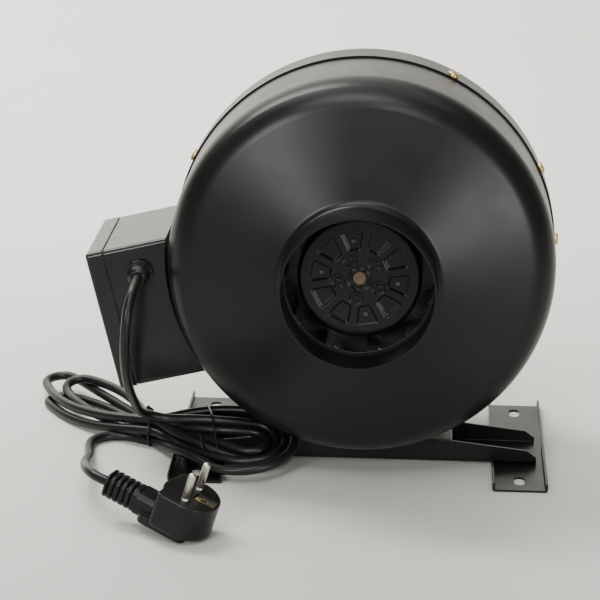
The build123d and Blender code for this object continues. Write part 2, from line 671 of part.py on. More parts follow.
def cord_tube(name, route):
    path = cord_path(route)
    section = Plane(origin=path @ 0, z_dir=path % 0) * Circle(CORD_R)
    tube = sweep(section, path=path)
    print(name, "length", round(path.length, 1))
    print("volume over section times length", round(tube.volume / (path.length * section.area), 4))
    return tube


def cord_hank():
    """The coiled cord as one closed solid, lying on the floor and over the left foot."""
    base = make_face(Polyline(*HANK_OUTLINE, close=True))
    base = fillet(base.vertices(), 4.0)
    hank = Pos(0, 0, 0.3) * extrude(base, 26.5)
    hank = hank - block(-100, 100, 128, 250, 20.6, 40)
    hank = hank - block(-81, 81, 87.6, 124.4, -1, 6.4)
    over_bar = Polyline(
        (20, -1), (20, 17.2), (62, 17.2), (113, 11.4), (118.5, 9), (118.5, -1), close=True
    )
    over_bar = extrude(Plane.YZ * make_face(over_bar), 100, both=True)
    bar_half = BAR_WIDTH / 2 + 0.4
    over_bar = over_bar & block(BAR_X - bar_half, BAR_X + bar_half, 0, 130, -1, 30)
    return hank - lifted(disc(-100, 60, OUTLET_SHELL_R + 1.0)) - over_bar


def tied(hank, name, centre, along, ring, twist_at, twist_lean):
    """A wire tie in a groove of the hank: a closed ring with its twisted ends standing out."""
    normal = Vector(*along).normalized()
    plane = Plane(origin=centre, x_dir=Vector(0, 0, 1).cross(normal), z_dir=normal)
    middle = make_face(Polyline(*ring, close=True))
    outside = offset(middle, TIE_WIRE_R, kind=Kind.INTERSECTION)
    inside = offset(middle, -TIE_WIRE_R, kind=Kind.INTERSECTION)
    band = extrude(plane * (outside - inside), TIE_WIRE_R, both=True)
    core = offset(middle, -TIE_WIRE_R - CLEAR, kind=Kind.INTERSECTION)
    groove = plane * Box(300, 300, 2 * (TIE_WIRE_R + CLEAR)) - extrude(plane * core, 5, both=True)
    twist = Cylinder(1.3, TWIST_LENGTH, align=(Align.CENTER, Align.CENTER, Align.MIN))
    twist = plane * (Pos(*twist_at, 0) * (Rot(0, 0, twist_lean) * (Rot(-90, 0, 0) * twist)))
    near = plane * (Pos(*twist_at, 0) * Box(80, 60, 6))
    save(name, band + twist)
    return hank - (groove & near)


def plug():
    """An angled two-pin plug with an earth contact in its face, lying with its pins up."""
    place = Plane(origin=PLUG_FACE, x_dir=PLUG_PINS_ACROSS, z_dir=PLUG_PINS_UP).location
    head = Cylinder(PLUG_R, PLUG_DEPTH, align=(Align.CENTER, Align.CENTER, Align.MAX))
    shoulder = block(-PLUG_R + 0.1, PLUG_R - 0.1, 0, 16, -PLUG_DEPTH, 0)
    shoulder = fillet(shoulder.edges().filter_by(Axis.Z).group_by(Axis.Y)[-1], 4.0)
    head = head + shoulder
    head = fillet(head.edges().group_by(Axis.Z)[0], 3.0)
    head = fillet(head.edges().group_by(Axis.Z)[-1], 1.2)
    neck = block(-9.5, 9.5, 6, PROTECTOR_END, PLUG_CORD_Z - 7.5, PLUG_CORD_Z + 7.5)
    neck = fillet(neck.edges().filter_by(Axis.Y), 4.0)
    back = block(-13.5, 13.5, -8, 26, -28.0, -PLUG_DEPTH + 1)
    back = fillet(back.edges().filter_by(Axis.Z), 5.0)
    for z in (-27.2, -25.6):
        back = back - (block(-20, 20, -20, 30, z, z + 0.7) - block(-12.8, 12.8, -7.3, 25.3, -30, 0))
    body = head + neck + back
    for side in (1, -1):
        body = body - Pos(side * PIN_SPACING / 2, 0, 0) * Cylinder(PIN_R + CLEAR, 2 * PIN_BURIED)
    body = body - block(-3.6, 3.6, EARTH_END - 0.1, -2.4, -2.4, 1)
    body = body - block(-3.6, 3.6, EARTH_END - 0.1, EARTH_END + 1.1, -14.6, 1)
    save("plug_body", place * body)

    protector = block(-8, 8, PROTECTOR_END, PROTECTOR_START, PLUG_CORD_Z - 8, PLUG_CORD_Z + 8)
    protector = fillet(protector.edges().filter_by(Axis.Y), 4.5)
    for number in range(5):
        y = PROTECTOR_END + 3.2 + number * 4.1
        core = block(-5.6, 5.6, y - 1, y + 3, PLUG_CORD_Z - 5.6, PLUG_CORD_Z + 5.6)
        protector = protector - (block(-20, 20, y, y + 1.8, -60, 0) - core)
    save("plug_bend_protector", place * protector)

    pins = []
    for side in (1, -1):
        length = PIN_LENGTH + PIN_BURIED
        pin = Cylinder(PIN_R, length, align=(Align.CENTER, Align.CENTER, Align.MIN))
        pin = fillet(pin.edges().group_by(Axis.Z)[-1], PIN_R * 0.7)
        pins.append((place * (Pos(side * PIN_SPACING / 2, 0, -PIN_BURIED) * pin)).solids()[0])
    save("plug_pins", Compound(children=pins))

    clip = block(-3.5, 3.5, EARTH_END, -2.6, -2.3, -1.3)
    clip = clip + block(-3.5, 3.5, EARTH_END, EARTH_END + 1.0, -14.5, -1.3)
    clip = clip + Pos(0, EARTH_HOLE_Y, -1.0) * Cylinder(3.0, 0.7)
    clip = clip - Pos(0, EARTH_HOLE_Y, 0) * Cylinder(2.0, 10)
    save("plug_earth_clip", place * clip)


def cord():
    """The cord's free stretches, its hank and ties, and the plug."""
    hank = cord_hank()
    hank = tied(hank, "wire_tie_1", (-10.3, 141, 11), (-0.3, -0.954, 0), TIE_1_RING, (-3, 10.6), 20)
    hank = tied(hank, "wire_tie_2", (-17, 106, 18), (-0.25, -0.97, 0), TIE_2_RING, (-24, 8.95), 0)
    save("cord_drop", cord_tube("cord_drop", DROP_ROUTE))
    save("cord_tail", cord_tube("cord_tail", TAIL_ROUTE))
    save("cord_hank", hank)
    plug()


casing()
motor_support()
motor()
rotor()
impeller()
terminal_box()
cable_gland()
bracket()
cord()
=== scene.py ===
import json
import math

import bmesh
import bpy
import numpy as np
from mathutils import Matrix, Vector


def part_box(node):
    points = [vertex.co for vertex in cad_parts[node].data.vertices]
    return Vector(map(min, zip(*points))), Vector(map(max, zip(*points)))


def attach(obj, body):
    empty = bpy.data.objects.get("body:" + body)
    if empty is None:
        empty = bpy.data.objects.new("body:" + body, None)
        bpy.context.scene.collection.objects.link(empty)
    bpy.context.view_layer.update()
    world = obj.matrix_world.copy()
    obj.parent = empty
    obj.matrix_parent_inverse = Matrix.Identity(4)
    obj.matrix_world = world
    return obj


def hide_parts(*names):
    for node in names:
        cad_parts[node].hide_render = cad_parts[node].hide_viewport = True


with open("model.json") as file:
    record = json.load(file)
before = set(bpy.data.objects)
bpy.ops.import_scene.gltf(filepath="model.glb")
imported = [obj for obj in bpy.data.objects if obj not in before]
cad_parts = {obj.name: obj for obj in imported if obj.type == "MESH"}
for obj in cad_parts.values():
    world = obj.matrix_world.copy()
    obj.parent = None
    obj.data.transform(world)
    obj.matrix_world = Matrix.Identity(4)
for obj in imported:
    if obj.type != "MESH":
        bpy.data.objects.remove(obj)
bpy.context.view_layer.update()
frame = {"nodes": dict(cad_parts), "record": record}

# Inline duct fan on its bracket, with its cord and plug. Metres, in the CAD frame: X is the
# air flow (inlet at -X), +Y points to the terminal box, Z is up.
nodes = frame["nodes"]

# ---------------------------------------------------------------- camera

CAMERA_PLACE = Vector((-1.444, -0.0445, 0.557))
CAMERA_YAW = math.radians(3.45)
CAMERA_PITCH = math.radians(-17.46)
CAMERA_ROLL = math.radians(0.36)


def make_camera():
    """A level camera looking along +X, pitched down, turned a little to +Y and rolled."""
    ahead = Vector(
        (
            math.cos(CAMERA_YAW) * math.cos(CAMERA_PITCH),
            math.sin(CAMERA_YAW) * math.cos(CAMERA_PITCH),
            math.sin(CAMERA_PITCH),
        )
    )
    right = ahead.cross(Vector((0, 0, 1))).normalized()
    up = right.cross(ahead)
    roll = Matrix.Rotation(CAMERA_ROLL, 3, -ahead)
    right, up = roll @ right, roll @ up
    data = bpy.data.cameras.new("camera")
    data.lens = 135.3
    data.sensor_width = 36.0
    data.clip_end = 20.0
    camera = bpy.data.objects.new("camera", data)
    axes = Matrix((right, up, -ahead)).transposed().to_4x4()
    camera.matrix_world = Matrix.Translation(CAMERA_PLACE) @ axes
    bpy.context.collection.objects.link(camera)
    bpy.context.scene.camera = camera


make_camera()

# ---------------------------------------------------------------- the cord's line

CORD_R = 0.0032
DROP_ROUTE = [
    (-0.0545, 0.1449, 0.1319),
    (-0.071, 0.1449, 0.1319),
    (-0.083, 0.148, 0.119),
    (-0.085, 0.1498, 0.100),
    (-0.078, 0.151, 0.079),
    (-0.063, 0.151, 0.059),
    (-0.044, 0.1494, 0.0415),
    (-0.0340, 0.1485, 0.0330),
    (-0.0265, 0.1445, 0.0275),
    (-0.0225, 0.1375, 0.0240),
    (-0.0222, 0.1310, 0.0226),
]
TAIL_ROUTE = [
    (-0.0092, 0.1542, 0.0035),
    (-0.007, 0.1625, 0.0035),
    (-0.008, 0.174, 0.0035),
    (-0.0165, 0.1832, 0.0035),
    (-0.030, 0.1830, 0.0043),
    (-0.045, 0.1805, 0.0066),
    (-0.061, 0.1777, 0.0105),
    (-0.079, 0.1755, 0.0155),
    (-0.098, 0.1745, 0.0210),
    (-0.1159, 0.1722, 0.0255),
    (-0.1292, 0.1692, 0.0282),
    (-0.1383, 0.1652, 0.0290),
    (-0.1447, 0.1592, 0.0283),
    (-0.1478, 0.1518, 0.0265),
]

# The hank: strands through the first tie as (across, height), and the loops between them as
# far centre, radius, how far the outgoing and returning legs bow out, and three heights
TIE_CENTRE = np.array((-0.0098, 0.143))
TIE_ACROSS = np.array((0.954, -0.300))
TIE_ALONG = np.array((0.300, 0.954))
TIE_HALF = 0.006
STRANDS = [
    (-0.0068, 0.0216),
    (-0.0036, 0.0150),
    (0.0068, 0.0092),
    (-0.0068, 0.0092),
    (0.0000, 0.0092),
    (0.0034, 0.0034),
    (0.0034, 0.0150),
    (-0.0034, 0.0034),
]
LOOPS = [
    ((-0.0435, 0.067), 0.0135, (-0.004, 0.009), (0.0215, 0.0185, 0.0040, 0.0090)),
    ((0.0820, 0.2205), 0.0105, (0.012, 0.000), (0.0090, 0.0070, 0.0105, 0.0100)),
    ((-0.0385, 0.070), 0.0205, (0.002, 0.004), (0.0185, 0.0175, 0.0040, 0.0060)),
    ((0.0580, 0.2160), 0.0100, (0.0085, 0.0056), (0.0036, 0.0036, 0.0050, 0.0070)),
    ((-0.0420, 0.071), 0.0125, (-0.008, 0.004), (0.0160, 0.0145, 0.0060, 0.0080)),
    ((0.0600, 0.2045), 0.0100, (0.012, 0.0075), (0.0105, 0.0115, 0.0170, 0.0170)),
    ((-0.0490, 0.0745), 0.0320, (0.002, 0.004), (0.0230, 0.0210, 0.0036, 0.0080)),
]
LEG_POINTS = 4
BEND_POINTS = 5


def strand(number):
    """The two points of one strand either side of the tie; even strands go towards the bracket."""
    across, height = STRANDS[number]
    way = -1 if number % 2 == 0 else 1
    middle = TIE_CENTRE + across * TIE_ACROSS
    return [(*(middle + side * way * TIE_HALF * TIE_ALONG), height) for side in (-1, 1)]


def leg(start, end, side, bow, middle_height):
    """Points of one leg of a loop, bowed out sideways and rising or falling evenly."""
    points = []
    for number in range(1, LEG_POINTS + 1):
        t = number / (LEG_POINTS + 1)
        flat = (1 - t) * np.array(start[:2]) + t * np.array(end[:2]) + 4 * t * (1 - t) * bow * side
        height = (1 - t) * (1 - 2 * t) * start[2] + 4 * t * (1 - t) * middle_height + t * (2 * t - 1) * end[2]
        points.append((*flat, height))
    return points


def loop(start, end, centre, radius, bows, heights):
    """One loop of the hank: out along one side, round the far bend, back along the other."""
    centre = np.array(centre)
    ahead = centre - TIE_CENTRE
    ahead = ahead / np.linalg.norm(ahead)
    side = np.array((-ahead[1], ahead[0]))
    bend = []
    for number in range(BEND_POINTS):
        t = number / (BEND_POINTS - 1)
        flat = centre + radius * (math.cos(math.pi * t) * side + math.sin(math.pi * t) * ahead)
        bend.append((*flat, heights[2] + (heights[1] - heights[2]) * (1 - t) ** 1.6))
    out = leg(start, bend[0], side, bows[0], heights[0])
    back = leg(bend[-1], end, -side, bows[1], heights[3])
    return out + bend + back


def coil_route():
    """The whole cord from the gland to the plug, before it settles."""
    points = list(DROP_ROUTE) + strand(0)[2:]
    for number, shape in enumerate(LOOPS):
        arriving = strand(number + 1)
        points += loop(points[-1], arriving[0], *shape) + arriving
    return np.array(points + TAIL_ROUTE)


def spline_weights(count, per_run=6):
    """The matrix that takes control points to points along their clamped quadratic spline."""
    runs = count - 2
    places = np.linspace(0, runs, runs * per_run + 1)
    run = np.minimum(places.astype(int), runs - 1)
    t = places - run
    rows = np.arange(len(places))
    weights = np.zeros((len(places), count))
    weights[rows, run] = np.where(run == 0, 1.0, 0.5) * (1 - t) ** 2
    weights[rows, run + 2] = np.where(run == runs - 1, 1.0, 0.5) * t**2
    weights[rows, run + 1] = 1 - weights[rows, run] - weights[rows, run + 2]
    return weights


def settle(points, blocks, drum, steps=300):
    """Let the strands push each other, the bracket and the floor apart until nothing overlaps."""
    gap = 2 * CORD_R + 0.00005
    reach = 0.016
    free = np.ones(len(points), bool)
    free[: len(DROP_ROUTE)] = False
    free[-len(TAIL_ROUTE) :] = False
    weights = spline_weights(len(points))
    share = (weights**2).sum(0)[:, None]
    home = points.copy()
    for step in range(steps):
        line = weights @ points
        push = np.zeros_like(line)
        steps_along = np.linalg.norm(np.diff(line, axis=0), axis=1)
        along = np.concatenate([[0], np.cumsum(steps_along)])
        apart = line[:, None, :] - line[None, :, :]
        distance = np.sqrt((apart**2).sum(2)) + 1e-9
        touching = (distance < gap) & (np.abs(along[:, None] - along[None, :]) > reach)
        first, second = np.where(touching)
        near = distance[first, second][:, None]
        np.add.at(push, first, apart[first, second] / near * (gap - near) * 0.5)
        push /= np.maximum(touching.sum(1), 1)[:, None] ** 0.5
        push[:, 2] += np.maximum(CORD_R + 0.0001 - line[:, 2], 0)
        for low, high in blocks:
            away = line - np.clip(line, low, high)
            depth = np.linalg.norm(away, axis=1)
            inside = depth < 1e-6
            direction = np.where(inside[:, None], (0.0, 0.0, 1.0), away / np.maximum(depth, 1e-6)[:, None])
            push += direction * np.maximum(CORD_R + 0.0002 - depth, 0)[:, None]
        centre, radius, far_end = drum
        radial = line[:, 1:] - centre
        depth = radius + CORD_R + 0.0005 - np.linalg.norm(radial, axis=1)
        depth = np.where(line[:, 0] > far_end, np.maximum(depth, 0), 0)
        push[:, 1:] += radial / np.linalg.norm(radial, axis=1)[:, None] * depth[:, None]
        move = (weights.T @ push) / share * 0.6
        shift = points - home
        move[1:-1] += 0.3 * ((shift[:-2] + shift[2:]) / 2 - shift[1:-1])
        move -= 0.01 * shift
        move[~free] = 0
        size = np.linalg.norm(move, axis=1, keepdims=True)
        points = points + move * np.minimum(1, 0.0015 / np.maximum(size, 1e-9))
    return points

# ---------------------------------------------------------------- cord

def curve_piece(name, splines, radius, cyclic=False, resolution=6):
    """A round-sectioned curve object of smooth splines through lists of control points."""
    data = bpy.data.curves.new(name, "CURVE")
    data.dimensions = "3D"
    data.bevel_depth = radius
    data.bevel_resolution = 5
    data.resolution_u = resolution
    data.use_fill_caps = True
    for points in splines:
        spline = data.splines.new("NURBS")
        spline.points.add(len(points) - 1)
        for point, place in zip(spline.points, points):
            point.co = (*place, 1)
        spline.order_u = 3
        spline.use_endpoint_u = not cyclic
        spline.use_cyclic_u = cyclic
    piece = bpy.data.objects.new(name, data)
    bpy.context.collection.objects.link(piece)
    return piece


def bracket_blocks():
    """Boxes that the hank lies on: the left foot's flanges, the crossbar's walls and its floor."""
    sheet = 0.0015
    foot_low, foot_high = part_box("left_foot")
    bar_low, bar_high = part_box("crossbar")
    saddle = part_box("saddle")[1]
    blocks = []
    for y in (foot_low.y, foot_high.y - sheet):
        blocks.append(((foot_low.x, y, 0), (foot_high.x, y + sheet, foot_high.z)))
    blocks.append(((bar_low.x, -saddle.y, 0), (bar_high.x, saddle.y, saddle.z)))
    blocks.append(((bar_low.x, saddle.y, 0), (bar_high.x, foot_high.y, 2 * sheet)))
    slices = 5
    end_y, end_z = 0.113, 0.0106
    length = (end_y - saddle.y) / slices
    for number in range(slices):
        y = saddle.y + number * length
        top = saddle.z - number * (saddle.z - end_z) / slices
        for x in (bar_low.x, bar_high.x - sheet):
            blocks.append(((x, y, 0), (x + sheet, y + length, top)))
    return blocks


def casing_drum():
    """The casing as a drum along X: its centre in Y and Z, its radius and its inlet end."""
    low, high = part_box("outlet_wall")
    centre = np.array(((low.y + high.y) / 2, (low.z + high.z) / 2))
    return centre, (high.z - low.z) / 2, -0.08


settled = settle(coil_route(), bracket_blocks(), casing_drum())
cord = curve_piece("mains_cord", [settled], CORD_R)


# ---------------------------------------------------------------- materials

def noise(tree, coords, scale, detail=3.0, roughness=0.5, stretch=(1, 1, 1)):
    """Noise in object space; stretch multiplies the scale along each axis."""
    if stretch != (1, 1, 1):
        mapping = tree.nodes.new("ShaderNodeMapping")
        mapping.inputs["Scale"].default_value = stretch
        tree.links.new(coords, mapping.inputs["Vector"])
        coords = mapping.outputs["Vector"]
    node = tree.nodes.new("ShaderNodeTexNoise")
    node.inputs["Scale"].default_value = scale
    node.inputs["Detail"].default_value = detail
    node.inputs["Roughness"].default_value = roughness
    tree.links.new(coords, node.inputs["Vector"])
    return node.outputs["Fac"]


def ranged(tree, value, low, high, out_low, out_high):
    """A clamped linear map of one number to another."""
    node = tree.nodes.new("ShaderNodeMapRange")
    for name, number in zip(("From Min", "From Max", "To Min", "To Max"), (low, high, out_low, out_high)):
        node.inputs[name].default_value = number
    tree.links.new(value, node.inputs["Value"])
    return node.outputs["Result"]


def mixed(tree, factor, first, second):
    """Two colours mixed by a factor; either may be a tuple or a socket."""
    node = tree.nodes.new("ShaderNodeMix")
    node.data_type = "RGBA"
    tree.links.new(factor, node.inputs["Factor"])
    for socket, colour in ((node.inputs["A"], first), (node.inputs["B"], second)):
        if isinstance(colour, tuple):
            socket.default_value = (*colour, 1)
        else:
            tree.links.new(colour, socket)
    return node.outputs["Result"]


def finish(
    name,
    colour,
    other,
    roughness,
    metallic=0.0,
    specular=0.5,
    cloud=18.0,
    grain=(900.0, 0.15, 0.0001),
    ripple=None,
    wear=None,
    stretch=(1, 1, 1),
    coat=0.0,
    rounded=0.0,
):
    """A surface with patchy colour and gloss, a fine grain and, if asked, ripples and worn edges.

    grain and ripple are (scale per metre, strength, height in metres); wear is a colour, and
    rounded is the radius in metres that the piece's edges look rounded to.
    """
    material = bpy.data.materials.new(name)
    material.use_nodes = True
    tree = material.node_tree
    shader = tree.nodes["Principled BSDF"]
    shader.inputs["Metallic"].default_value = metallic
    shader.inputs["Specular IOR Level"].default_value = specular
    shader.inputs["Coat Weight"].default_value = coat
    shader.inputs["Coat Roughness"].default_value = 0.15
    coords = tree.nodes.new("ShaderNodeTexCoord").outputs["Object"]
    patches = ranged(tree, noise(tree, coords, cloud, 4.0, 0.6), 0.35, 0.65, 0.0, 1.0)
    tone = mixed(tree, patches, colour, other)
    if wear:
        edges = tree.nodes.new("ShaderNodeNewGeometry").outputs["Pointiness"]
        worn = tree.nodes.new("ShaderNodeMath")
        worn.operation = "MULTIPLY"
        tree.links.new(ranged(tree, edges, 0.53, 0.60, 0.0, 0.7), worn.inputs[0])
        tree.links.new(ranged(tree, noise(tree, coords, 140.0), 0.4, 0.7, 0.1, 1.0), worn.inputs[1])
        tone = mixed(tree, worn.outputs[0], tone, wear)
    tree.links.new(tone, shader.inputs["Base Color"])
    gloss = noise(tree, coords, cloud * 3.7, 5.0, 0.65, stretch)
    tree.links.new(ranged(tree, gloss, 0.3, 0.7, *roughness), shader.inputs["Roughness"])
    normal = None
    if rounded:
        edge = tree.nodes.new("ShaderNodeBevel")
        edge.samples = 6
        edge.inputs["Radius"].default_value = rounded
        normal = edge.outputs["Normal"]
    for layer in (ripple, grain):
        if layer is None:
            continue
        scale, strength, height = layer
        bump = tree.nodes.new("ShaderNodeBump")
        bump.inputs["Strength"].default_value = strength
        bump.inputs["Distance"].default_value = height
        tree.links.new(noise(tree, coords, scale, 2.0, 0.5, stretch), bump.inputs["Height"])
        if normal:
            tree.links.new(normal, bump.inputs["Normal"])
        normal = bump.outputs["Normal"]
    tree.links.new(normal, shader.inputs["Normal"])
    return material


BLACK = (0.0045, 0.0045, 0.0044)
SOFT_BLACK = (0.0065, 0.0065, 0.0063)
MATERIALS = {
    "casing_black": finish(
        "satin_black_casing", BLACK, SOFT_BLACK, (0.29, 0.36), specular=0.23, cloud=9.0,
        grain=(1500.0, 0.25, 0.00006), ripple=(120.0, 0.10, 0.0003),
    ),
    "bracket_black": finish(
        "satin_black_bracket", BLACK, SOFT_BLACK, (0.26, 0.36), specular=0.25, cloud=14.0,
        grain=(1300.0, 0.3, 0.00008), ripple=(180.0, 0.12, 0.0003), rounded=0.0006,
    ),
    "rotor_black": finish(
        "semi_gloss_black_rotor", (0.0035, 0.0035, 0.0034), (0.0055, 0.0055, 0.0053), (0.09, 0.15),
        specular=0.26, cloud=40.0, grain=(1100.0, 0.15, 0.00005), ripple=(200.0, 0.10, 0.0003),
        rounded=0.0016,
    ),
    # The impeller's black is lighter than the casing's: painted light, so the blades deep in the inlet look
    # lit.
    "impeller_black": finish(
        "satin_black_impeller_painted_light", (0.018, 0.018, 0.0178), (0.026, 0.026, 0.0258), (0.24, 0.34),
        specular=0.5, cloud=30.0, rounded=0.0006,
        grain=(1100.0, 0.25, 0.00008), ripple=(200.0, 0.15, 0.0002),
    ),
    "box_plastic": finish(
        "black_box_plastic", (0.0050, 0.0050, 0.0050), (0.0065, 0.0065, 0.0064), (0.15, 0.24),
        specular=0.32, cloud=16.0, grain=(1700.0, 0.30, 0.00006), ripple=(70.0, 0.10, 0.0005),
        rounded=0.0012,
    ),
    "gland_black": finish(
        "black_nylon", (0.006, 0.006, 0.006), (0.009, 0.009, 0.009), (0.22, 0.34),
        specular=0.35, cloud=60.0, grain=(1800.0, 0.3, 0.00006), rounded=0.0008,
    ),
    "cord_black": finish(
        "black_pvc_sheath", (0.0055, 0.0055, 0.0055), (0.0085, 0.0085, 0.0083), (0.30, 0.40),
        specular=0.27, cloud=30.0, grain=(1400.0, 0.3, 0.00008), ripple=(150.0, 0.10, 0.0002),
    ),
    "tie_black": finish(
        "black_tie_plastic", (0.007, 0.007, 0.007), (0.010, 0.010, 0.010), (0.24, 0.34),
        specular=0.30, cloud=80.0,
        grain=(1500.0, 0.3, 0.00006),
    ),
    "plug_black": finish(
        "black_plug_pvc", (0.0055, 0.0055, 0.0054), (0.008, 0.008, 0.0078), (0.28, 0.38),
        specular=0.20, cloud=35.0, grain=(1600.0, 0.45, 0.0001), ripple=(200.0, 0.1, 0.0002),
        rounded=0.0010,
    ),
    "seal_rubber": finish(
        "black_rubber", (0.008, 0.008, 0.008), (0.012, 0.012, 0.012), (0.6, 0.8), cloud=50.0,
        grain=(900.0, 0.4, 0.0001),
    ),
    "yellow_zinc": finish(
        "yellow_zinc", (0.60, 0.44, 0.17), (0.52, 0.38, 0.24), (0.24, 0.40), metallic=1.0, cloud=220.0,
        grain=(1500.0, 0.3, 0.00006), wear=(0.75, 0.66, 0.45),
    ),
    "zinc_steel": finish(
        "bright_zinc", (0.60, 0.60, 0.59), (0.50, 0.51, 0.53), (0.26, 0.42), metallic=1.0, cloud=180.0,
        grain=(1500.0, 0.3, 0.00006), wear=(0.75, 0.75, 0.74),
    ),
    "shaft_steel": finish(
        "turned_steel", (0.15, 0.105, 0.078), (0.11, 0.082, 0.066), (0.30, 0.48), metallic=1.0, cloud=260.0,
        grain=(2200.0, 0.5, 0.00008), wear=(0.34, 0.26, 0.20),
    ),
    "bearing_steel": finish(
        "polished_bearing_steel", (0.62, 0.62, 0.62), (0.55, 0.55, 0.56), (0.12, 0.24),
        metallic=1.0, cloud=120.0,
    ),
    "magnet_grey": finish(
        "sintered_magnet", (0.11, 0.11, 0.115), (0.14, 0.14, 0.145), (0.55, 0.75), cloud=90.0,
        grain=(1200.0, 0.6, 0.0002),
    ),
    "core_steel": finish(
        "laminated_steel", (0.30, 0.30, 0.31), (0.24, 0.24, 0.25), (0.35, 0.55), metallic=1.0, cloud=60.0,
        grain=(1200.0, 0.6, 0.0002), stretch=(6, 1, 1),
    ),
    "winding_copper": finish(
        "enamelled_copper", (0.55, 0.24, 0.10), (0.42, 0.17, 0.07), (0.25, 0.40), metallic=1.0, cloud=80.0,
        grain=(900.0, 0.8, 0.0004), stretch=(0.3, 3, 3), coat=0.6,
    ),
    "flange_aluminium": finish(
        "cast_aluminium", (0.64, 0.64, 0.65), (0.56, 0.56, 0.57), (0.40, 0.55), metallic=1.0, cloud=70.0,
        grain=(900.0, 0.6, 0.0002),
    ),
    "terminal_cream": finish(
        "cream_plastic", (0.70, 0.66, 0.56), (0.64, 0.60, 0.50), (0.40, 0.52), cloud=70.0,
    ),
    "capacitor_white": finish(
        "white_plastic_can", (0.74, 0.74, 0.72), (0.68, 0.68, 0.66), (0.22, 0.34), cloud=60.0,
    ),
    "plug_nickel": finish(
        "satin_nickel", (0.56, 0.53, 0.48), (0.48, 0.46, 0.42), (0.36, 0.46), metallic=1.0, cloud=150.0,
        grain=(1800.0, 0.35, 0.00006),
    ),
    "plug_brass": finish(
        "bright_brass", (0.66, 0.54, 0.34), (0.56, 0.47, 0.32), (0.22, 0.38), metallic=1.0, cloud=180.0,
        grain=(1500.0, 0.35, 0.00006), wear=(0.80, 0.70, 0.48),
    ),
}


def dress(piece, slot):
    """Give a piece the one material made for a record slot."""
    piece.data.materials.clear()
    piece.data.materials.append(MATERIALS[slot])


def dress_cad_nodes():
    for row in frame["record"]["subparts"]:
        piece = nodes[row["node"]]
        if not piece.material_slots:
            piece.data.materials.append(None)
        for place in piece.material_slots:
            place.material = MATERIALS[row["material_slot"]]


RIVET_HEAD = finish(
    "worn_rivet_head", (0.10, 0.10, 0.098), (0.06, 0.06, 0.058), (0.20, 0.34), metallic=1.0,
    cloud=300.0, grain=(1800.0, 0.3, 0.00006), rounded=0.0006,
)
dress_cad_nodes()
nodes["balance_rivets"].material_slots[0].material = RIVET_HEAD


# ---------------------------------------------------------------- what the cord carries

def turn(first, second, third):
    """Positive where the path through three flat points turns left."""
    return np.cross(np.subtract(second, first), np.subtract(third, second))


def hull(points):
    """The corners of the smallest convex outline round flat points, counter-clockwise."""
    ordered = sorted(map(tuple, points))
    whole = []
    for run in (ordered, ordered[::-1]):
        side = []
        for point in run:
            while len(side) > 1 and turn(side[-2], side[-1], point) <= 0:
                side.pop()
            side.append(point)
        whole += side[:-1]
    return whole


def ring_round(points, margin):
    """Points of a smooth closed loop that keeps one margin from a flat outline."""
    corners = hull(points)
    ring = []
    for before, corner, after in zip(corners[-1:] + corners[:-1], corners, corners[1:] + corners[:1]):
        first = math.atan2(corner[1] - before[1], corner[0] - before[0]) - math.pi / 2
        turn = math.atan2(after[1] - corner[1], after[0] - corner[0]) - math.pi / 2 - first
        turn %= 2 * math.pi
        steps = max(2, round(turn / math.radians(25)) + 1)
        for number in range(steps):
            angle = first + turn * number / (steps - 1)
            ring.append((corner[0] + margin * math.cos(angle), corner[1] + margin * math.sin(angle)))
    return ring


def crossings(line, centre, normal, reach):
    """Where the cord's centreline crosses a plane near a point."""
    height = (line - centre) @ normal
    found = []
    for number in np.where(height[:-1] * height[1:] < 0)[0]:
        share = height[number] / (height[number] - height[number + 1])
        place = line[number] + share * (line[number + 1] - line[number])
        if np.linalg.norm(place - centre) < reach:
            found.append(place)
    return found


TIE_WIRE_R = 0.0008


def wire_tie(name, node, centre, normal, reach, twist_from, twist_to):
    """A plastic-coated wire round the strands at one place, its two ends twisted together."""
    normal = np.array(normal) / np.linalg.norm(normal)
    across = np.cross((0, 0, 1), normal)
    across /= np.linalg.norm(across)
    centre = np.array(centre)
    strands = crossings(cord_line, centre, normal, reach)
    flat = [((place - centre) @ across, place[2]) for place in strands]
    base = centre * (1, 1, 0)
    outline = ring_round(flat, CORD_R + TIE_WIRE_R)
    ring = [base + a * across + (0, 0, max(z, TIE_WIRE_R)) for a, z in outline]
    start, end = np.array(twist_from), np.array(twist_to)
    axis = (end - start) / np.linalg.norm(end - start)
    side = np.cross(axis, normal)
    side /= np.linalg.norm(side)
    other = np.cross(axis, side)
    turns, count = 3.0, 28
    strands = []
    for phase in (0, math.pi):
        points = []
        for number in range(count):
            t = number / (count - 1)
            angle = phase + 2 * math.pi * turns * t
            swing = 0.8 * TIE_WIRE_R * (1.0 + 0.5 * max(0, t - 0.75) * 4)
            around = math.cos(angle) * side + math.sin(angle) * other
            points.append(start + t * (end - start) + swing * around)
        strands.append(points)
    closed = ring + ring[:2]
    piece = curve_piece(name, [closed] + strands, 0.8 * TIE_WIRE_R)
    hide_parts(node)
    dress(piece, "tie_black")
    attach(piece, "fan_body")
    return piece


cord_line = spline_weights(len(settled), 12) @ settled
tie_1 = wire_tie(
    "wire_tie_at_bend", "wire_tie_1", (-0.0103, 0.141, 0.011), (-0.3, -0.954, 0), 0.022,
    (-0.0145, 0.1415, 0.0255), (-0.0205, 0.1440, 0.0300),
)
tie_2 = wire_tie(
    "wire_tie_at_bracket", "wire_tie_2", (-0.025, 0.1005, 0.014), (0.25, -0.97, 0), 0.030,
    (-0.036, 0.1065, 0.0170), (-0.049, 0.1035, 0.0130),
)


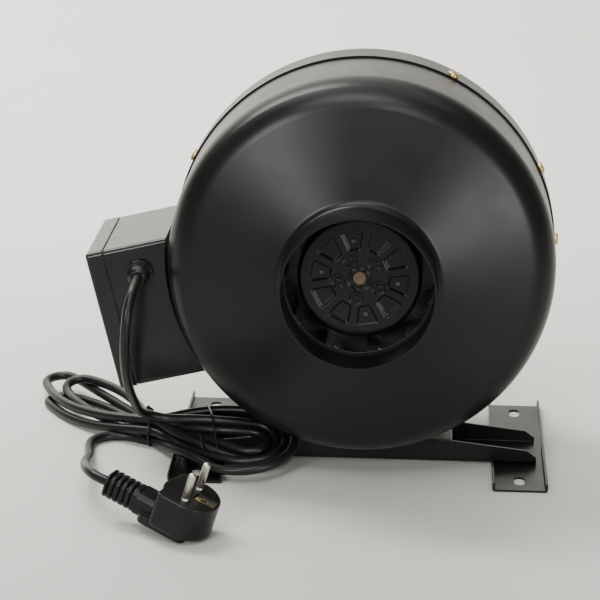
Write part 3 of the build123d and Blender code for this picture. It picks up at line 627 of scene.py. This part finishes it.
# The plug's face, where the pins leave it: its centre, the line of the pins and their direction
PLUG_FACE = (-0.1687, 0.0978, 0.0290)
PLUG_ACROSS = (0.933, -0.36, 0.006)
PLUG_UP = (-0.12, -0.295, 0.948)
PIN_OFFSET = 0.0095
PIN_R = 0.00235
PIN_NECK_R = 0.00215
PIN_BURIED = 0.008
PIN_STRAIGHT = 0.0168
PIN_DOME = 0.0021
PIN_SIDES = 40


def plug_pins():
    """The plug's two round pins, turned with domed tips and a fine ring near the root."""
    face = Vector(PLUG_FACE)
    across = Vector(PLUG_ACROSS).normalized()
    up = Vector(PLUG_UP)
    up = (up - up.dot(across) * across).normalized()
    side = up.cross(across)
    profile = [(0.0, -PIN_BURIED), (PIN_R, -PIN_BURIED), (PIN_R, 0.0010), (PIN_NECK_R, 0.0012)]
    profile += [(PIN_NECK_R, 0.0016), (PIN_R, 0.0018), (PIN_R, PIN_STRAIGHT)]
    for number in range(1, 8):
        angle = math.radians(90 * number / 7)
        profile.append((PIN_R * math.cos(angle), PIN_STRAIGHT + PIN_DOME * math.sin(angle)))
    mesh = bmesh.new()
    for offset in (-PIN_OFFSET, PIN_OFFSET):
        rings = []
        for radius, height in profile:
            ring = []
            for number in range(PIN_SIDES):
                angle = 2 * math.pi * number / PIN_SIDES
                place = face + (offset + radius * math.cos(angle)) * across
                place += radius * math.sin(angle) * side + height * up
                ring.append(mesh.verts.new(place))
            rings.append(ring)
        for low, high in zip(rings, rings[1:]):
            for number in range(PIN_SIDES):
                near, far = number - 1, number
                mesh.faces.new((low[near], low[far], high[far], high[near]))
    bmesh.ops.remove_doubles(mesh, verts=mesh.verts, dist=1e-6)
    bmesh.ops.recalc_face_normals(mesh, faces=mesh.faces)
    for face_of_pin in mesh.faces:
        face_of_pin.smooth = True
    data = bpy.data.meshes.new("turned_pins")
    mesh.to_mesh(data)
    mesh.free()
    piece = bpy.data.objects.new("turned_pins", data)
    bpy.context.collection.objects.link(piece)
    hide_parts("plug_pins")
    dress(piece, "plug_nickel")
    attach(piece, "fan_body")
    return piece


pins = plug_pins()
dress(cord, "cord_black")
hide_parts("cord_drop", "cord_hank", "cord_tail")
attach(cord, "fan_body")

# ---------------------------------------------------------------- floor and light

def paint_forward_shade(paper):
    """Painted shade: the sheet's colour gets darker well in front of the object, where the light no longer
    reaches it.
    """
    tree = paper.node_tree
    base = tree.nodes["Principled BSDF"].inputs["Base Color"]
    place = tree.nodes.new("ShaderNodeSeparateXYZ")
    tree.links.new(tree.nodes.new("ShaderNodeTexCoord").outputs["Object"], place.inputs[0])
    # Painted shade: the colour runs from the sheet's own towards dark grey, from the back to the front.
    far = ranged(tree, place.outputs["X"], -0.95, 0.55, 1.0, 0.0)
    tree.links.new(mixed(tree, far, base.links[0].from_socket, (0.20, 0.20, 0.195)), base)


def make_floor():
    """A pale sheet that runs under the object and sweeps up behind it."""
    mesh = bmesh.new()
    profile = [(-3.0, 0.0), (1.0, 0.0)]
    for number in range(1, 13):
        angle = math.radians(90 * number / 12)
        profile.append((1.0 + 1.2 * math.sin(angle), 1.2 - 1.2 * math.cos(angle)))
    profile.append((2.2, 3.5))
    rows = [[mesh.verts.new((x, y, z)) for x, z in profile] for y in (-3.5, 3.5)]
    for number in range(len(profile) - 1):
        mesh.faces.new((rows[0][number], rows[0][number + 1], rows[1][number + 1], rows[1][number]))
    data = bpy.data.meshes.new("floor")
    mesh.to_mesh(data)
    mesh.free()
    floor = bpy.data.objects.new("floor", data)
    bpy.context.collection.objects.link(floor)
    paper = finish(
        "pale_floor", (0.78, 0.775, 0.745), (0.80, 0.795, 0.765), (0.50, 0.60), cloud=1.5,
        grain=(300.0, 0.05, 0.0002),
    )
    data.materials.append(paper)
    # Painted shade on the floor, darker in front.
    paint_forward_shade(paper)


def area_light(name, place, aim, size, power):
    data = bpy.data.lights.new(name, "AREA")
    data.shape = "RECTANGLE"
    data.size, data.size_y = size
    data.energy = power
    data.color = (1.0, 0.985, 0.945)
    light = bpy.data.objects.new(name, data)
    light.location = place
    light.rotation_euler = (Vector(aim) - Vector(place)).to_track_quat("-Z", "Y").to_euler()
    bpy.context.collection.objects.link(light)


def make_world():
    world = bpy.data.worlds.new("studio")
    world.use_nodes = True
    background = world.node_tree.nodes["Background"]
    background.inputs["Color"].default_value = (0.95, 0.97, 1.0, 1)
    background.inputs["Strength"].default_value = 0.10
    bpy.context.scene.world = world


make_floor()
make_world()
area_light("top_softbox", (0.15, 0.10, 1.75), (0, 0, 0.1), (1.9, 1.9), 22.0)
area_light("front_top_softbox", (-1.0, 0.15, 1.45), (0, 0, 0.14), (0.8, 0.5), 13.0)
area_light("left_softbox", (-1.70, 0.80, 0.75), (0, 0, 0.16), (0.50, 0.6), 20.0)
area_light("right_softbox", (-1.45, -0.92, 0.22), (0, 0, 0.14), (0.45, 0.55), 14.0)
area_light("small_panel", (-1.5, -0.25, 1.0), (0, 0, 0.14), (0.16, 0.16), 4.5)
area_light("wall_light", (0.7, 1.4, 2.3), (2.1, 1.0, 0.8), (2.0, 0.9), 140.0)
